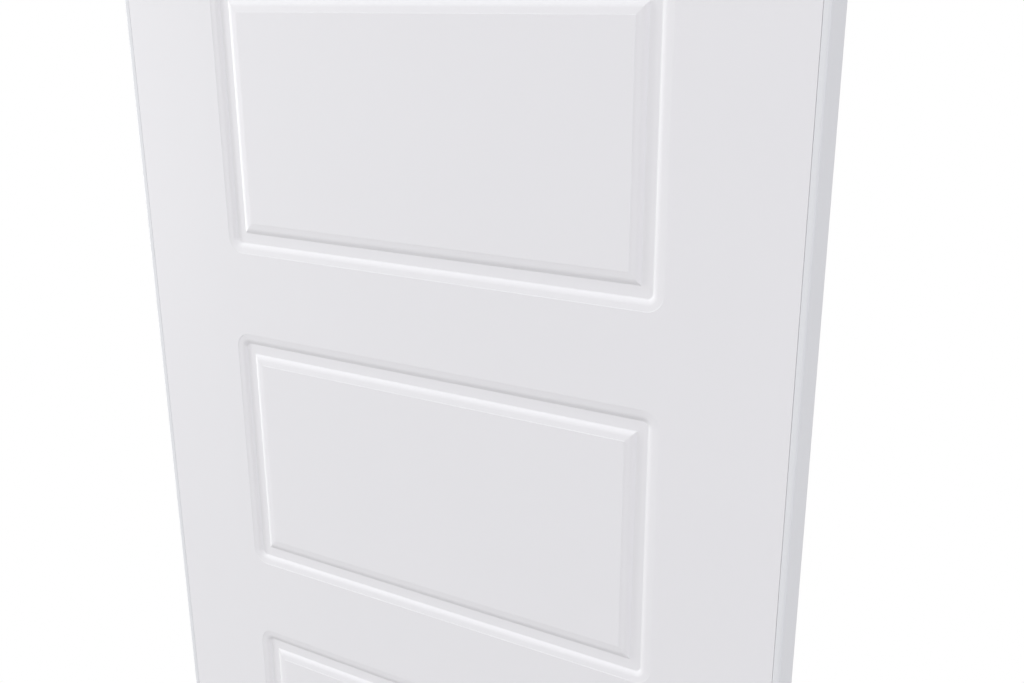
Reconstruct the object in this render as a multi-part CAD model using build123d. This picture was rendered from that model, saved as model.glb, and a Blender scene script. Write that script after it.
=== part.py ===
"""White five-panel interior door leaf, in millimetres.

The leaf is a timber frame (two stiles, a top and a bottom rail) faced on both sides
with a board whose five raised panels are routed in one piece, and lipped on both long edges.

+X runs across the leaf from the hinge edge, +Z up, and the front face looks along -Y.
The origin is on the hinge edge, at the foot of the leaf, in the middle of its thickness.
"""
import os
from math import cos, radians, sin, tan

from build123d import *

# Leaf
leaf_width = 726.0
leaf_height = 2040.0
leaf_thickness = 44.0

# Lippings on the two long edges
lipping_thickness = 6.0
lipping_arris_radius = 2.0
lipping_seam = 0.3  # hairline joint left open between a lipping and a face board

# Face boards
face_board_thickness = 10.0
board_end_radius = 1.0  # eased arris along the top and the foot of each board

# Timber frame between the face boards
frame_stile_width = 58.0
frame_top_rail_height = 70.0
frame_bottom_rail_height = 140.0

# Panel layout: plain margins between the leaf's edges and the routed moulds
panel_count = 5
stile_margin = 120.0
top_margin = 120.0
bottom_margin = 208.0
cross_margin = 88.0

# Routed mould: a flat floor between two ogee sides, each under a bevel and a small quirk
floor_width = 9.2
quirk_depth = 0.2
bevel_run = 5.0
bevel_slope = 5.5  # degrees
shoulder_radius = 11.6
shoulder_slope = 32.0  # degrees, where the shoulder turns into the cove
cove_radius = 3.0
cutter_rise = 2.0  # the cutter stands this far out of the board

# Sizes that follow
front_face = -leaf_thickness / 2
frame_thickness = leaf_thickness - 2 * face_board_thickness
board_inset = lipping_thickness + lipping_seam
board_width = leaf_width - 2 * board_inset
stile_inner_edge = lipping_thickness + frame_stile_width
frame_rail_length = leaf_width - 2 * stile_inner_edge
panel_width = leaf_width - 2 * stile_margin
panel_height = (
    leaf_height - top_margin - bottom_margin - (panel_count - 1) * cross_margin
) / panel_count
panel_pitch = panel_height + cross_margin
first_panel_centre = bottom_margin + panel_height / 2


def arc_point(centre, radius, slope):
    """The point of an arc where its surface slopes by this many degrees; a cove's radius is negative."""
    return (
        centre[0] - radius * sin(radians(slope)),
        centre[1] + radius * cos(radians(slope)),
    )


def cutter_half_section():
    """Half the mould cutter's section: across from its axis, and up out of the board's face."""
    shoulder_run = shoulder_radius * (sin(radians(shoulder_slope)) - sin(radians(bevel_slope)))
    cove_run = cove_radius * sin(radians(shoulder_slope))
    half_width = floor_width / 2 + cove_run + shoulder_run + bevel_run

    quirk_foot = (half_width, -quirk_depth)
    bevel_foot = (half_width - bevel_run, -quirk_depth - bevel_run * tan(radians(bevel_slope)))

    # bevel, shoulder, cove and floor run into one another without a kink
    shoulder_centre = arc_point(bevel_foot, -shoulder_radius, bevel_slope)
    shoulder_middle = arc_point(
        shoulder_centre, shoulder_radius, (bevel_slope + shoulder_slope) / 2
    )
    shoulder_foot = arc_point(shoulder_centre, shoulder_radius, shoulder_slope)
    cove_centre = arc_point(shoulder_foot, cove_radius, shoulder_slope)
    cove_middle = arc_point(cove_centre, -cove_radius, shoulder_slope / 2)
    floor_edge = arc_point(cove_centre, -cove_radius, 0)

    outline = [
        Line((0, cutter_rise), (0, floor_edge[1])),
        Line((0, floor_edge[1]), floor_edge),
        ThreePointArc(floor_edge, cove_middle, shoulder_foot),
        ThreePointArc(shoulder_foot, shoulder_middle, bevel_foot),
        Line(bevel_foot, quirk_foot),
        Line(quirk_foot, (half_width, cutter_rise)),
        Line((half_width, cutter_rise), (0, cutter_rise)),
    ]
    return make_face(outline), half_width


def panel_mould():
    """The cut that a mould cutter leaves round one panel, centred on the panel, at y = 0."""
    half_section, half_width = cutter_half_section()
    section = half_section + mirror(half_section, about=Plane.YZ)
    path_x = panel_width / 2 - half_width
    path_z = panel_height / 2 - half_width

    level_run = Plane(origin=(-path_x, 0, 0), x_dir=(0, 0, 1), z_dir=(1, 0, 0))
    upright_run = Plane(origin=(0, 0, path_z), x_dir=(1, 0, 0), z_dir=(0, 0, -1))
    level = extrude(level_run * section, 2 * path_x)
    upright = extrude(upright_run * section, 2 * path_z)

    # a quarter turn of the cutter, from -X round to -Z, rounds the outer corner
    turn_start = Plane(origin=(0, 0, 0), x_dir=(-1, 0, 0), z_dir=(0, 0, 1))
    turn = revolve(turn_start * half_section, Axis((0, 0, 0), (0, -1, 0)), 90)
    corners = [(-path_x, -path_z), (path_x, -path_z), (path_x, path_z), (-path_x, path_z)]

    mould = Pos(0, 0, -path_z) * level + Pos(0, 0, path_z) * level
    mould += Pos(-path_x, 0, 0) * upright + Pos(path_x, 0, 0) * upright
    for quarter, (x, z) in enumerate(corners):
        mould += Pos(x, 0, z) * Rot(0, -90 * quarter, 0) * turn
    return mould


def box_between(x_range, y_range, z_range):
    """A box from its lowest to its highest coordinate along each axis."""
    size = [high - low for low, high in (x_range, y_range, z_range)]
    lowest = Pos(x_range[0], y_range[0], z_range[0])
    return lowest * Box(*size, align=(Align.MIN, Align.MIN, Align.MIN))


def face_board():
    """The front board: one sheet with its five panels routed into it."""
    board = box_between(
        (board_inset, board_inset + board_width),
        (front_face, front_face + face_board_thickness),
        (0, leaf_height),
    )
    end_edges = board.edges().filter_by(Axis.X).group_by(Axis.Y)[0]
    board = fillet(end_edges, board_end_radius)
    mould = panel_mould()
    for index in range(panel_count):
        centre = first_panel_centre + index * panel_pitch
        board -= Pos(leaf_width / 2, front_face, centre) * mould
    return board


def frame_stile():
    """The stile behind the hinge edge's lipping, the full height of the leaf."""
    return box_between(
        (lipping_thickness, stile_inner_edge),
        (-frame_thickness / 2, frame_thickness / 2),
        (0, leaf_height),
    )


def frame_rail(bottom, height):
    """A rail between the two stiles."""
    return box_between(
        (stile_inner_edge, stile_inner_edge + frame_rail_length),
        (-frame_thickness / 2, frame_thickness / 2),
        (bottom, bottom + height),
    )


def lipping():
    """The solid strip glued on the hinge edge, with its two outer arrises rounded."""
    strip = box_between(
        (0, lipping_thickness),
        (-leaf_thickness / 2, leaf_thickness / 2),
        (0, leaf_height),
    )
    arrises = strip.edges().filter_by(Axis.Z).group_by(Axis.X)[0]
    return fillet(arrises, lipping_arris_radius)


def across_the_leaf(piece):
    """The same piece on the leaf's other long edge."""
    return mirror(piece, about=Plane.YZ.offset(leaf_width / 2))


front_board = face_board()
hinge_stile = frame_stile()
hinge_lipping = lipping()

pieces = {
    "front_face_board": front_board,
    "back_face_board": mirror(front_board, about=Plane.XZ),
    "hinge_stile": hinge_stile,
    "lock_stile": across_the_leaf(hinge_stile),
    "top_rail": frame_rail(leaf_height - frame_top_rail_height, frame_top_rail_height),
    "bottom_rail": frame_rail(0, frame_bottom_rail_height),
    "hinge_edge_lipping": hinge_lipping,
    "lock_edge_lipping": across_the_leaf(hinge_lipping),
}

os.makedirs("parts", exist_ok=True)
for name, piece in pieces.items():
    export_step(piece, f"parts/{name}.step")
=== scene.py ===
import bpy
from math import cos, pi, radians, sin
from mathutils import Matrix, Vector


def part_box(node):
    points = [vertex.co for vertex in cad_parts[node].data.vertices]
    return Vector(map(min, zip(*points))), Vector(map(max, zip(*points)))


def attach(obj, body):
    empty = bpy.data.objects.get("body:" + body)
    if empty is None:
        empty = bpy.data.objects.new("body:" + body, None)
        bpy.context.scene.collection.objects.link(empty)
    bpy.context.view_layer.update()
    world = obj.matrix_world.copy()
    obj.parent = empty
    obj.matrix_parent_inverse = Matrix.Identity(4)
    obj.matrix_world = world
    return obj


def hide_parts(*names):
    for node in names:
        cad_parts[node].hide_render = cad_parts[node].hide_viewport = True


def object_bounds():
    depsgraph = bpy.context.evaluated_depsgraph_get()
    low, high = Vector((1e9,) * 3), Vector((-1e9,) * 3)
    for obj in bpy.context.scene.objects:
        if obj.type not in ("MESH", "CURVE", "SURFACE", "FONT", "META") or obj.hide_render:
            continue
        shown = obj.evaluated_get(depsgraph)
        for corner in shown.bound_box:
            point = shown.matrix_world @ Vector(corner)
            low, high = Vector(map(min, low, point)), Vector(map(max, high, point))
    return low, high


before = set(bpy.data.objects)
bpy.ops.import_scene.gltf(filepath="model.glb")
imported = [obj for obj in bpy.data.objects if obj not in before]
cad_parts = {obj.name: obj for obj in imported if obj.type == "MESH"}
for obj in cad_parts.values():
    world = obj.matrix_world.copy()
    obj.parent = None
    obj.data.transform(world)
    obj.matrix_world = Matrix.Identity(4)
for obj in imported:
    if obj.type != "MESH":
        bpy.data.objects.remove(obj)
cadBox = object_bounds()
leafLow, leafHigh = Vector(cadBox[0]), Vector(cadBox[1])
leafHeight = leafHigh.z - leafLow.z
print("frame loaded:", ", ".join(sorted(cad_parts)))


# small helpers for meshes with exact normals

def newSheet():
    return {"points": [], "faces": [], "normals": [], "routed": [], "endCut": []}


def putPoint(sheet, point, routed=0.0):
    sheet["points"].append(Vector(point))
    sheet["routed"].append(routed)
    return len(sheet["points"]) - 1


def putFace(sheet, corners, normals, endCut=0.0):
    sheet["faces"].append(list(corners))
    sheet["normals"].append([Vector(n).normalized() for n in normals])
    sheet["endCut"].append(endCut)


def putFlat(sheet, corners, normal, endCut=0.0):
    putFace(sheet, corners, [normal] * len(corners), endCut)


# the same sheet seen in a mirror: turn has -1 on the axis that flips
def mirrored(sheet, turn, shift=(0, 0, 0)):
    turn, shift = Vector(turn), Vector(shift)
    return {
        **sheet,
        "points": [p * turn + shift for p in sheet["points"]],
        "faces": [f[::-1] for f in sheet["faces"]],
        "normals": [[n * turn for n in corner[::-1]] for corner in sheet["normals"]],
    }


def meshPiece(name, sheet):
    mesh = bpy.data.meshes.new(name)
    mesh.from_pydata([tuple(p) for p in sheet["points"]], [], sheet["faces"])
    mesh.polygons.foreach_set("use_smooth", [True] * len(sheet["faces"]))
    mesh.normals_split_custom_set([tuple(n) for corner in sheet["normals"] for n in corner])
    for mask, domain in (("routed", "POINT"), ("endCut", "FACE")):  # read by the finishes
        mesh.attributes.new(mask, "FLOAT", domain).data.foreach_set("value", sheet[mask])
    piece = bpy.data.objects.new(name, mesh)
    bpy.context.scene.collection.objects.link(piece)
    return piece


# the routed mould: a flat floor between two ogee sides, each under a bevel and a small quirk

mouldCut = {
    "floorWidth": 0.0092,
    "quirkDepth": 0.0002,
    "quirkWall": 70,            # degrees, slope of the small step under the arris
    "quirkSoftness": 0.0001,    # lacquer rounds the quirk this much
    "bevelRun": 0.005,          # nearly flat stretch beside the quirk
    "bevelSlope": 5.5,          # degrees
    "shoulderRadius": 0.0116,
    "shoulderSlope": 32,        # degrees, where the shoulder turns into the cove
    "coveRadius": 0.003,
    "arcSteps": 12,
    "softSteps": 4,
    "cornerSteps": 16,
}


# a chain of tangent arcs and straights, each point as (run, depth, slope in radians)
def addArc(chain, radius, slope, steps):
    run, depth, first = chain[-1]
    last = radians(slope)
    for k in range(1, steps + 1):
        s = first + (last - first) * k / steps
        chain.append((run + radius * abs(sin(s) - sin(first)), depth + radius * abs(cos(s) - cos(first)), s))


def addStraight(chain, length):
    run, depth, slope = chain[-1]
    chain.append((run + length * cos(slope), depth + length * sin(slope), slope))


# one side of the mould, from the face to the middle of its floor
def mouldSide():
    c = mouldCut
    wall, bevel = radians(c["quirkWall"]), radians(c["bevelSlope"])
    rounded = c["quirkSoftness"] * (1 + cos(bevel) - 2 * cos(wall))  # depth that the two roundings take
    chain = [(0.0, 0.0, 0.0)]
    addArc(chain, c["quirkSoftness"], c["quirkWall"], c["softSteps"])
    addStraight(chain, max(c["quirkDepth"] - rounded, 0) / sin(wall))
    addArc(chain, c["quirkSoftness"], c["bevelSlope"], c["softSteps"])
    addStraight(chain, (c["bevelRun"] - chain[-1][0]) / cos(bevel))
    addArc(chain, c["shoulderRadius"], c["shoulderSlope"], c["arcSteps"])
    addArc(chain, c["coveRadius"], 0, c["arcSteps"])
    addStraight(chain, c["floorWidth"] / 2)
    return chain


mouldProfile = mouldSide()
mouldHalf, mouldDepth = mouldProfile[-1][:2]
print("mould: %.1f mm wide, %.2f mm deep" % (mouldHalf * 2000, mouldDepth * 1000))


# face boards: one sheet each, five raised panels routed into it

panelPlan = {
    "count": 5,
    "stileMargin": 0.120,   # plain face from the leaf's long edge to the mould
    "topMargin": 0.120,
    "bottomMargin": 0.208,
    "crossMargin": 0.088,
}
boardEdge = {"sideEase": 0.00015, "endEase": 0.0008, "steps": 4, "backEase": 0.0003}

faceNormal = Vector((0, -1, 0))


def panelOpenings():
    p = panelPlan
    clear = leafHeight - p["topMargin"] - p["bottomMargin"] - (p["count"] - 1) * p["crossMargin"]
    height = clear / p["count"]
    left, right = leafLow.x + p["stileMargin"], leafHigh.x - p["stileMargin"]
    lows = [leafLow.z + p["bottomMargin"] + k * (height + p["crossMargin"]) for k in range(p["count"])]
    return [(left, right, low, low + height) for low in lows]


# one loop round a panel at this run in from the outer edge: four corners of points
def mouldLoop(sheet, opening, run, y, routed):
    left, right, low, high = opening
    h = mouldHalf
    centres = [(left + h, low + h), (right - h, low + h), (right - h, high - h), (left + h, high - h)]
    corners = []
    for q, (cx, cz) in enumerate(centres):
        if run < h:  # outside the cutter's path the corner is as round as the cutter
            n = mouldCut["cornerSteps"]
            turns = [pi + pi / 2 * (q + k / n) for k in range(n + 1)]
            spots = [(cx + (h - run) * cos(t), cz + (h - run) * sin(t)) for t in turns]
        else:  # inside it the two runs meet in a mitre
            inX, inZ = (1, -1, -1, 1)[q], (1, 1, -1, -1)[q]
            spots = [(cx + inX * (run - h), cz + inZ * (run - h))]
        corners.append([putPoint(sheet, (x, y, z), routed) for x, z in spots])
    return corners


# the strip between two loops, with the surface's own normals along both
def bridgeLoops(sheet, outer, inner, slopeOut, slopeIn):
    def lean(slope, inX, inZ):
        return (sin(slope) * inX, -cos(slope), sin(slope) * inZ)

    for q in range(4):
        a, b = outer[q], inner[q]
        n = len(a) - 1
        for k in range(n):  # the round of the corner
            t0, t1 = (pi / 2 * (q + (k + e) / n) for e in (0, 1))
            e0, e1 = (cos(t0), sin(t0)), (cos(t1), sin(t1))
            if len(b) > 1:
                normals = [lean(slopeOut, *e0), lean(slopeOut, *e1), lean(slopeIn, *e1), lean(slopeIn, *e0)]
                putFace(sheet, (a[k], a[k + 1], b[k + 1], b[k]), normals)
            else:
                putFace(sheet, (a[k], a[k + 1], b[0]), [lean(slopeOut, *e0), lean(slopeOut, *e1), faceNormal])
        inX, inZ = ((0, 1), (-1, 0), (0, -1), (1, 0))[q]
        across = (q + 1) % 4
        first, second = lean(slopeOut, inX, inZ), lean(slopeIn, inX, inZ)
        putFace(sheet, (a[-1], outer[across][0], inner[across][0], b[-1]), (first, first, second, second))


def panelRelief(sheet, opening, faceY):
    innerSide = [(2 * mouldHalf - run, depth, -slope) for run, depth, slope in reversed(mouldProfile[:-1])]
    profile = mouldProfile + innerSide
    loops = []
    for run, depth, slope in profile:
        loops.append(mouldLoop(sheet, opening, run, faceY + depth, 1.0 if depth > 0 else 0.0))
    for k in range(len(loops) - 1):
        bridgeLoops(sheet, loops[k], loops[k + 1], profile[k][2], profile[k + 1][2])
    putFlat(sheet, [corner[0] for corner in loops[-1]], faceNormal)  # the raised field
    return loops[0]


# the plain face between and around the panels, whose edge loop carries on round the board
def plainFace(sheet, rims, edge):
    lowLeft, openLeftLow, openRightLow, lowRight, highRight, openRightHigh, openLeftHigh, highLeft = edge
    back = [[corner[::-1] for corner in rim] for rim in rims]
    first, last = back[0], back[-1]
    putFlat(sheet, [openLeftLow, openRightLow] + first[1] + first[0], faceNormal)
    for lower, upper in zip(back, back[1:]):
        putFlat(sheet, lower[3] + lower[2] + upper[1] + upper[0], faceNormal)
    putFlat(sheet, last[3] + last[2] + [openRightHigh, openLeftHigh], faceNormal)

    leftLine = [i for rim in rims for i in (rim[0][0], rim[3][-1])]
    rightLine = [i for rim in reversed(rims) for i in (rim[2][0], rim[1][-1])]
    putFlat(sheet, [lowLeft, openLeftLow] + leftLine + [openLeftHigh, highLeft], faceNormal)
    putFlat(sheet, [openRightLow, lowRight, highRight, openRightHigh] + rightLine, faceNormal)


def boardSheet(low, high):
    sheet = newSheet()
    openings = panelOpenings()
    faceY, backY = low.y, high.y
    rims = [panelRelief(sheet, opening, faceY) for opening in openings]
    left, right = openings[0][0], openings[0][1]

    def edgeLoop(insetX, insetZ, y):
        x0, x1, z0, z1 = low.x + insetX, high.x - insetX, low.z + insetZ, high.z - insetZ
        plan = [(x0, z0), (left, z0), (right, z0), (x1, z0), (x1, z1), (right, z1), (left, z1), (x0, z1)]
        return [putPoint(sheet, (x, y, z)) for x, z in plan]

    e = boardEdge
    turns = [pi / 2 * k / e["steps"] for k in range(e["steps"] + 1)]
    rounding = [(e["sideEase"] * (1 - sin(t)), e["endEase"] * (1 - sin(t)), faceY + e["endEase"] * (1 - cos(t)))
                for t in turns]
    rounding += [(0, 0, backY - e["backEase"]), (e["backEase"], e["backEase"], backY)]
    edges = [edgeLoop(*step) for step in rounding]
    plainFace(sheet, rims, edges[0])

    outward = [(0, 0, -1)] * 3 + [(1, 0, 0)] + [(0, 0, 1)] * 3 + [(-1, 0, 0)]
    for k, (near, far) in enumerate(zip(edges, edges[1:])):
        lean = [min(1.0, step / e["steps"]) * pi / 2 for step in (k, k + 1)]
        for i in range(8):
            j = (i + 1) % 8
            out = Vector(outward[i])
            n0, n1 = (out * sin(t) + faceNormal * cos(t) for t in lean)
            sawn = 1.0 if out.z and k >= e["steps"] else 0.0
            putFace(sheet, (near[i], far[i], far[j], near[j]), (n0, n1, n1, n0), sawn)
    putFlat(sheet, edges[-1][::-1], -faceNormal)
    return sheet


frontLow, frontHigh = (Vector(v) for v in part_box("front_face_board"))
frontSheet = boardSheet(frontLow, frontHigh)
frontFace = meshPiece("frontFace", frontSheet)
backFace = meshPiece("backFace", mirrored(frontSheet, (1, -1, 1)))
print("face boards:", len(frontFace.data.polygons), "faces each")


# lippings: solid strips with two rounded outer arrises

lippingShape = {"arrisRadius": 0.002, "innerEase": 0.0002, "endEase": 0.0006, "leastRadius": 0.00005, "arcSteps": 10}


# a rounded rectangle in plan, with its outward normals, outer side towards -X
def lippingOutline(low, high, inset):
    s = lippingShape
    radii = [s["arrisRadius"], s["innerEase"], s["innerEase"], s["arrisRadius"]]
    spots = []
    for q, radius in enumerate(radii):
        radius = max(radius - inset, s["leastRadius"])
        cx = (low.x if q in (0, 3) else high.x) + (inset + radius) * (1 if q in (0, 3) else -1)
        cy = (low.y if q in (0, 1) else high.y) + (inset + radius) * (1 if q in (0, 1) else -1)
        for k in range(s["arcSteps"] + 1):
            t = pi + pi / 2 * (q + k / s["arcSteps"])
            spots.append((cx + radius * cos(t), cy + radius * sin(t), cos(t), sin(t)))
    return spots


def lippingSheet(low, high):
    sheet = newSheet()
    ease = lippingShape["endEase"]
    levels = [(low.z, ease), (low.z + ease, 0), (high.z - ease, 0), (high.z, ease)]
    loops, outs = [], []
    for z, inset in levels:
        outline = lippingOutline(low, high, inset)
        loops.append([putPoint(sheet, (x, y, z)) for x, y, nx, ny in outline])
        outs.append([Vector((nx, ny, 0)) for x, y, nx, ny in outline])
    up = Vector((0, 0, 1))
    tilts = [(-up, Vector()), (Vector(), Vector()), (Vector(), up)]
    for k, (lower, upper) in enumerate(zip(loops, loops[1:])):
        for i in range(len(lower)):
            j = (i + 1) % len(lower)
            n = [outs[k][i] + tilts[k][0], outs[k][j] + tilts[k][0],
                 outs[k + 1][j] + tilts[k][1], outs[k + 1][i] + tilts[k][1]]
            putFace(sheet, (lower[i], lower[j], upper[j], upper[i]), n)
    putFlat(sheet, loops[0][::-1], -up, endCut=1.0)
    putFlat(sheet, loops[-1], up, endCut=1.0)
    return sheet


hingeSheet = lippingSheet(*(Vector(v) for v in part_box("hinge_edge_lipping")))
hingeLipping = meshPiece("hingeLipping", hingeSheet)
lockSheet = mirrored(hingeSheet, (-1, 1, 1), (leafLow.x + leafHigh.x, 0, 0))
lockLipping = meshPiece("lockLipping", lockSheet)
print("lippings made")


# finishes: shared effects as node groups, each material with its own values

def newGroup(name, inputs, outputs):
    group = bpy.data.node_groups.new(name, "ShaderNodeTree")
    for label, kind, value in inputs:
        socket = group.interface.new_socket(label, in_out="INPUT", socket_type=kind)
        socket.default_value = value
    for label, kind in outputs:
        group.interface.new_socket(label, in_out="OUTPUT", socket_type=kind)
    return group, group.nodes.new("NodeGroupInput"), group.nodes.new("NodeGroupOutput")


def mathNode(tree, operation, first, second):
    node = tree.nodes.new("ShaderNodeMath")
    node.operation = operation
    for socket, value in zip(node.inputs, (first, second)):
        if isinstance(value, bpy.types.NodeSocket):
            tree.links.new(value, socket)
        else:
            socket.default_value = value
    return node.outputs[0]


def noiseNode(tree, vector, scale, detail, roughness=0.5):
    node = tree.nodes.new("ShaderNodeTexNoise")
    node.inputs["Detail"].default_value = detail
    node.inputs["Roughness"].default_value = roughness
    tree.links.new(vector, node.inputs["Vector"])
    if isinstance(scale, bpy.types.NodeSocket):
        tree.links.new(scale, node.inputs["Scale"])
    else:
        node.inputs["Scale"].default_value = scale
    return node.outputs["Fac"]


# the faint waviness of sprayed lacquer, and slow drifts of its gloss
def lacquerPeelGroup():
    group, given, out = newGroup(
        "lacquerPeel",
        [("Peel Scale", "NodeSocketFloat", 320), ("Drift Scale", "NodeSocketFloat", 6)],
        [("Height", "NodeSocketFloat"), ("Drift", "NodeSocketFloat")],
    )
    place = group.nodes.new("ShaderNodeTexCoord").outputs["Object"]
    group.links.new(noiseNode(group, place, given.outputs["Peel Scale"], detail=2), out.inputs["Height"])
    group.links.new(noiseNode(group, place, given.outputs["Drift Scale"], detail=3), out.inputs["Drift"])
    return group


grainPattern = {
    "wanderScale": 40,      # how often the rings drift
    "wander": 0.006,        # metres they drift by
    "ringSharpness": 2.5,
    "fibreScale": 900,
    "fibreDetail": 4,
    "fibreRoughness": 0.6,
}


# growth rings round a heart line and fine fibres along it
def timberGrainGroup():
    g = grainPattern
    group, given, out = newGroup(
        "timberGrain",
        [
            ("Across", "NodeSocketVector", (1, 1, 0)),   # 1 on the two axes across the fibres
            ("Heart", "NodeSocketVector", (0, 0.09, 0)),
            ("Ring Spacing", "NodeSocketFloat", 0.004),
            ("Fibre Stretch", "NodeSocketVector", (1, 1, 0.03)),
        ],
        [("Rings", "NodeSocketFloat"), ("Fibre", "NodeSocketFloat")],
    )
    place = group.nodes.new("ShaderNodeTexCoord").outputs["Object"]

    def vectorNode(operation, first, second=None):
        node = group.nodes.new("ShaderNodeVectorMath")
        node.operation = operation
        group.links.new(first, node.inputs[0])
        if second is not None:
            group.links.new(second, node.inputs[1])
        return node.outputs

    fromHeart = vectorNode("SUBTRACT", place, given.outputs["Heart"])["Vector"]
    away = vectorNode("LENGTH", vectorNode("MULTIPLY", fromHeart, given.outputs["Across"])["Vector"])["Value"]
    stretched = vectorNode("MULTIPLY", place, given.outputs["Fibre Stretch"])["Vector"]
    wander = mathNode(group, "MULTIPLY", noiseNode(group, stretched, g["wanderScale"], detail=2), g["wander"])
    turns = mathNode(group, "DIVIDE", mathNode(group, "ADD", away, wander), given.outputs["Ring Spacing"])
    ring = mathNode(group, "FRACT", turns, 0)
    fibre = noiseNode(group, stretched, g["fibreScale"], g["fibreDetail"], g["fibreRoughness"])
    group.links.new(mathNode(group, "POWER", ring, g["ringSharpness"]), out.inputs["Rings"])
    group.links.new(fibre, out.inputs["Fibre"])
    return group


peelGroup, grainGroup = lacquerPeelGroup(), timberGrainGroup()


def newMaterial(name):
    material = bpy.data.materials.new(name)
    material.use_nodes = True
    return material, material.node_tree, material.node_tree.nodes["Principled BSDF"]


def placeGroup(tree, group, values):
    node = tree.nodes.new("ShaderNodeGroup")
    node.node_tree = group
    for label, value in values.items():
        node.inputs[label].default_value = value
    return node.outputs


def mixColours(tree, factor, first, second):
    node = tree.nodes.new("ShaderNodeMix")
    node.data_type = "RGBA"
    tree.links.new(factor, node.inputs["Factor"])
    for socket, value in ((node.inputs[6], first), (node.inputs[7], second)):  # its two colour sockets
        if isinstance(value, bpy.types.NodeSocket):
            tree.links.new(value, socket)
        else:
            socket.default_value = (*value, 1)
    return node.outputs[2]


def meshMask(tree, name):
    node = tree.nodes.new("ShaderNodeAttribute")
    node.attribute_name = name
    return node.outputs["Fac"]


def bumpNode(tree, shader, height, distance):
    node = tree.nodes.new("ShaderNodeBump")
    node.inputs["Distance"].default_value = distance
    tree.links.new(height, node.inputs["Height"])
    tree.links.new(node.outputs["Normal"], shader.inputs["Normal"])


# a value that runs between two others as the mask goes from 0 to 1
def between(tree, mask, low, high):
    node = tree.nodes.new("ShaderNodeMapRange")
    tree.links.new(mask, node.inputs["Value"])
    for label, value in (("To Min", low), ("To Max", high)):
        if isinstance(value, bpy.types.NodeSocket):
            tree.links.new(value, node.inputs[label])
        else:
            node.inputs[label].default_value = value
    return node.outputs["Result"]


faceFinish = {
    "light": (0.810, 0.810, 0.832),
    "dark": (0.796, 0.796, 0.819),
    "sealedEnd": (0.70, 0.675, 0.635),   # thin sealer on the boards' sawn ends
    "sealedFibre": (0.62, 0.575, 0.51),
    "gloss": (0.36, 0.44),               # roughness between the drifts
    "routedRougher": 0.15,
    "endRoughness": 0.68,
    "endFibreStretch": (0.25, 1, 0.25),
    "endFibreHeight": 12,                # times the peel's
    "peelHeight": 0.000006,
    "peelScale": 330,
    "driftScale": 5,
}


# satin white lacquer over fibreboard, a little flatter where the cutter went
def faceLacquer():
    f = faceFinish
    material, tree, shader = newMaterial("faceLacquer")
    peel = placeGroup(tree, peelGroup, {"Peel Scale": f["peelScale"], "Drift Scale": f["driftScale"]})
    grain = placeGroup(tree, grainGroup, {"Fibre Stretch": f["endFibreStretch"]})
    end = meshMask(tree, "endCut")
    coat = mixColours(tree, peel["Drift"], f["light"], f["dark"])
    sawn = mixColours(tree, grain["Fibre"], f["sealedEnd"], f["sealedFibre"])
    tree.links.new(mixColours(tree, end, coat, sawn), shader.inputs["Base Color"])
    rough = between(tree, peel["Drift"], *f["gloss"])
    rough = mathNode(tree, "ADD", rough, mathNode(tree, "MULTIPLY", meshMask(tree, "routed"), f["routedRougher"]))
    tree.links.new(between(tree, end, rough, f["endRoughness"]), shader.inputs["Roughness"])
    endFibre = mathNode(tree, "MULTIPLY", mathNode(tree, "MULTIPLY", end, grain["Fibre"]), f["endFibreHeight"])
    bumpNode(tree, shader, mathNode(tree, "ADD", peel["Height"], endFibre), f["peelHeight"])
    return material


# the edge coat's colours sit a little darker and bluer than the face lacquer's: painted cool shade of the
# sideways-facing edges
edgeFinishWithPaintedShade = {
    "light": (0.769, 0.784, 0.805),
    "dark": (0.751, 0.766, 0.790),
    "endLight": (0.74, 0.70, 0.63),
    "endDark": (0.62, 0.55, 0.45),
    "gloss": (0.40, 0.48),
    "specular": 0.25,
    "endRoughness": 0.62,
    "grain": {"Ring Spacing": 0.003, "Fibre Stretch": (1, 1, 0.015)},
    "grainHeight": 0.00001,
    "peelShare": 0.5,                    # of the grain's height
    "peelScale": 260,
    "driftScale": 4,
}


# the same lacquer on solid strips, where the grain just shows through; its colour is set a little darker and bluer
# than the face lacquer's, as painted cool shade on the edges
def edgeLacquerWithPaintedShade():
    f = edgeFinishWithPaintedShade
    material, tree, shader = newMaterial("edgeLacquerWithPaintedShade")
    peel = placeGroup(tree, peelGroup, {"Peel Scale": f["peelScale"], "Drift Scale": f["driftScale"]})
    grain = placeGroup(tree, grainGroup, f["grain"])
    shader.inputs["Specular IOR Level"].default_value = f["specular"]
    end = meshMask(tree, "endCut")
    coat = mixColours(tree, grain["Fibre"], f["light"], f["dark"])
    sawn = mixColours(tree, grain["Rings"], f["endLight"], f["endDark"])
    tree.links.new(mixColours(tree, end, coat, sawn), shader.inputs["Base Color"])
    rough = between(tree, peel["Drift"], *f["gloss"])
    tree.links.new(between(tree, end, rough, f["endRoughness"]), shader.inputs["Roughness"])
    peelHeight = mathNode(tree, "MULTIPLY", peel["Height"], f["peelShare"])
    bumpNode(tree, shader, mathNode(tree, "ADD", grain["Fibre"], peelHeight), f["grainHeight"])
    return material


timberFinish = {
    "early": (0.74, 0.685, 0.60),   # between the rings, under a thin white sealer
    "late": (0.60, 0.49, 0.36),     # in the rings
    "gloss": (0.55, 0.70),
    "fibreHeight": 0.00004,
    "upright": {
        "Across": (1, 1, 0), "Heart": (0.02, 0.055, 0),
        "Fibre Stretch": (1, 1, 0.03), "Ring Spacing": 0.0036,
    },
    "level": {
        "Across": (0, 1, 1), "Heart": (0, 0.03, 1.96),
        "Fibre Stretch": (0.03, 1, 1), "Ring Spacing": 0.0042,
    },
}


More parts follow.
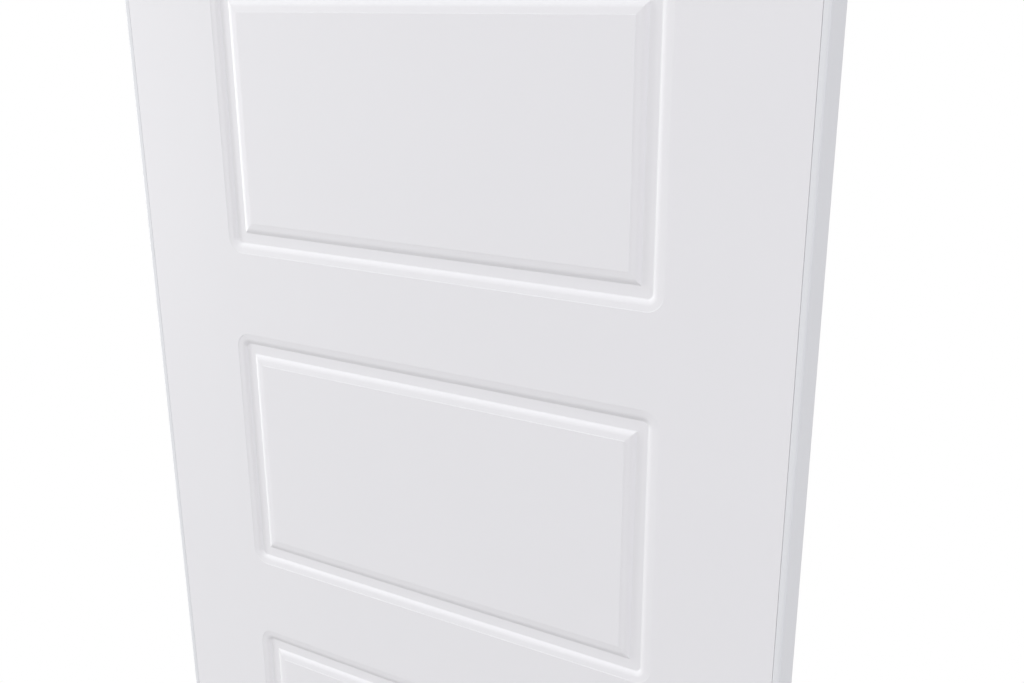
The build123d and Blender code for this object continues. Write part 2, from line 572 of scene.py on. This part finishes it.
# sawn softwood under a thin sealer, with its fibres upright or level
def frameTimber(name, lie):
    f = timberFinish
    material, tree, shader = newMaterial(name)
    grain = placeGroup(tree, grainGroup, f[lie])
    tree.links.new(mixColours(tree, grain["Rings"], f["early"], f["late"]), shader.inputs["Base Color"])
    tree.links.new(between(tree, grain["Fibre"], *f["gloss"]), shader.inputs["Roughness"])
    bumpNode(tree, shader, grain["Fibre"], f["fibreHeight"])
    return material


def dress(piece, material):
    piece.data.materials.clear()
    piece.data.materials.append(material)


faceCoat, edgeCoatWithPaintedShade = faceLacquer(), edgeLacquerWithPaintedShade()
stileTimber, railTimber = frameTimber("stileTimber", "upright"), frameTimber("railTimber", "level")
for piece, coat, node, slot in (
    (frontFace, faceCoat, "front_face_board", "face_lacquer"),
    (backFace, faceCoat, "back_face_board", "face_lacquer"),
    (hingeLipping, edgeCoatWithPaintedShade, "hinge_edge_lipping", "edge_lacquer"),
    (lockLipping, edgeCoatWithPaintedShade, "lock_edge_lipping", "edge_lacquer"),
):
    dress(piece, coat)
    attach(piece, "root")
    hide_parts(node)
for node, coat in (
    ("hinge_stile", stileTimber),
    ("lock_stile", stileTimber),
    ("top_rail", railTimber),
    ("bottom_rail", railTimber),
):
    dress(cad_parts[node], coat)
print("materials given")


# studio: white paper all round, a soft dome, a low strip at the left and three boxes

studio = {
    "floorSize": 40,
    "floorRoughness": 0.9,
    "floorTone": (0.62, 0.62, 0.62),     # what the camera sees of it near the leaf
    "floorBounce": (0.25, 0.24, 0.24),   # what the floor throws back on the leaf
    "paperFrom": 0.5,                    # metres from the leaf where the floor starts to fade to white
    "paperTo": 1.3,
    "skyTone": 1.187,                    # the dome's light on the leaf
    "skyDrop": {"lockBack": 0.255, "hingeBack": 2.0},   # less of it from behind the two edges
}


# rays that should find a white background
def seenRays(tree):
    path = tree.nodes.new("ShaderNodeLightPath").outputs
    direct = mathNode(tree, "MAXIMUM", path["Is Camera Ray"], path["Is Glossy Ray"])
    return mathNode(tree, "MAXIMUM", direct, path["Is Transmission Ray"])


def studioFloor():
    size = studio["floorSize"]
    mesh = bpy.data.meshes.new("floor")
    corners = [(-size, -size, leafLow.z), (size, -size, leafLow.z), (size, size, leafLow.z), (-size, size, leafLow.z)]
    mesh.from_pydata(corners, [], [(0, 1, 2, 3)])
    floor = bpy.data.objects.new("floor", mesh)
    bpy.context.scene.collection.objects.link(floor)
    material, tree, shader = newMaterial("floorPaint")
    shader.inputs["Roughness"].default_value = studio["floorRoughness"]
    seen = seenRays(tree)
    tree.links.new(mixColours(tree, seen, studio["floorBounce"], studio["floorTone"]), shader.inputs["Base Color"])

    away = tree.nodes.new("ShaderNodeVectorMath")
    away.operation = "DISTANCE"
    away.inputs[1].default_value = ((leafLow.x + leafHigh.x) / 2, 0, leafLow.z)
    tree.links.new(tree.nodes.new("ShaderNodeTexCoord").outputs["Object"], away.inputs[0])
    fade = tree.nodes.new("ShaderNodeMapRange")
    fade.interpolation_type = "SMOOTHSTEP"
    fade.inputs["From Min"].default_value = studio["paperFrom"]
    fade.inputs["From Max"].default_value = studio["paperTo"]
    tree.links.new(away.outputs["Value"], fade.inputs["Value"])
    paper = tree.nodes.new("ShaderNodeEmission")
    both = tree.nodes.new("ShaderNodeMixShader")
    tree.links.new(mathNode(tree, "MULTIPLY", seen, fade.outputs["Result"]), both.inputs[0])
    tree.links.new(shader.outputs[0], both.inputs[1])
    tree.links.new(paper.outputs[0], both.inputs[2])
    tree.links.new(both.outputs[0], tree.nodes["Material Output"].inputs["Surface"])
    mesh.materials.append(material)


def studioSky():
    world = bpy.data.worlds.new("studioSky")
    bpy.context.scene.world = world
    world.use_nodes = True
    tree = world.node_tree
    background = tree.nodes["Background"]
    background.inputs["Color"].default_value = (1, 1, 1, 1)
    toward = tree.nodes.new("ShaderNodeSeparateXYZ")
    tree.links.new(tree.nodes.new("ShaderNodeTexCoord").outputs["Generated"], toward.inputs[0])
    less = studio["skyDrop"]
    x, y = toward.outputs["X"], toward.outputs["Y"]
    lockBack = mathNode(tree, "MAXIMUM", mathNode(tree, "ADD", x, y), 0)
    hingeBack = mathNode(tree, "MULTIPLY", mathNode(tree, "MINIMUM", x, 0), mathNode(tree, "MAXIMUM", y, 0))
    drop = mathNode(tree, "ADD", mathNode(tree, "MULTIPLY", lockBack, less["lockBack"]),
                    mathNode(tree, "MULTIPLY", hingeBack, -less["hingeBack"]))
    dome = mathNode(tree, "SUBTRACT", studio["skyTone"], drop)
    tree.links.new(between(tree, seenRays(tree), dome, 1), background.inputs["Strength"])


lamps = {
    "leftStrip": {"at": (-2.2, -0.53, 1.5), "aim": (0.36, 0, 1.4),
                  "size": (0.24, 2.2), "power": 32.5, "tint": (1, 1, 1)},
    "rightBox": {"at": (2.7, -1.05, 1.8), "aim": (0.36, 0, 1.3),
                 "size": (1.2, 1.8), "power": 7.0, "tint": (1, 0.94, 1.12)},
    "frontBox": {"at": (0.7, -3.0, 3.0), "aim": (0.36, 0, 1.3),
                 "size": (1.6, 1.6), "power": 8.5, "tint": (1, 1, 1)},
    "backBox": {"at": (0.5, 2.6, 2.3), "aim": (0.36, 0, 0.6),
                "size": (0.4, 1.6), "power": 30, "tint": (1, 1, 1)},
}


def studioLamp(name, lamp):
    light = bpy.data.lights.new(name, "AREA")
    light.shape = "RECTANGLE"
    light.size, light.size_y = lamp["size"]
    light.energy = lamp["power"]
    light.color = lamp["tint"]
    holder = bpy.data.objects.new(name, light)
    holder.location = lamp["at"]
    holder.rotation_euler = (Vector(lamp["aim"]) - Vector(lamp["at"])).to_track_quat("-Z", "Y").to_euler()
    bpy.context.scene.collection.objects.link(holder)


studioFloor()
studioSky()
for name, lamp in lamps.items():
    studioLamp(name, lamp)
print("studio lit")


# camera at the photograph's viewing angle

cameraStand = {
    "at": (0.94641, -0.85087, 1.54514),
    "yaw": 30.405,     # degrees to the left
    "tilt": 17.495,    # degrees down
    "roll": -0.295,
    "lens": 39.024,
    "sensor": 36.0,
}


def standCamera():
    c = cameraStand
    camera = bpy.data.cameras.new("camera")
    camera.sensor_width, camera.lens = c["sensor"], c["lens"]
    holder = bpy.data.objects.new("camera", camera)
    turn = Matrix.Rotation(radians(c["yaw"]), 4, "Z") @ Matrix.Rotation(radians(90 - c["tilt"]), 4, "X")
    holder.matrix_world = Matrix.Translation(c["at"]) @ turn @ Matrix.Rotation(radians(c["roll"]), 4, "Z")
    bpy.context.scene.collection.objects.link(holder)
    bpy.context.scene.camera = holder


standCamera()
bpy.context.scene.view_settings.view_transform = "Standard"
print("camera set")
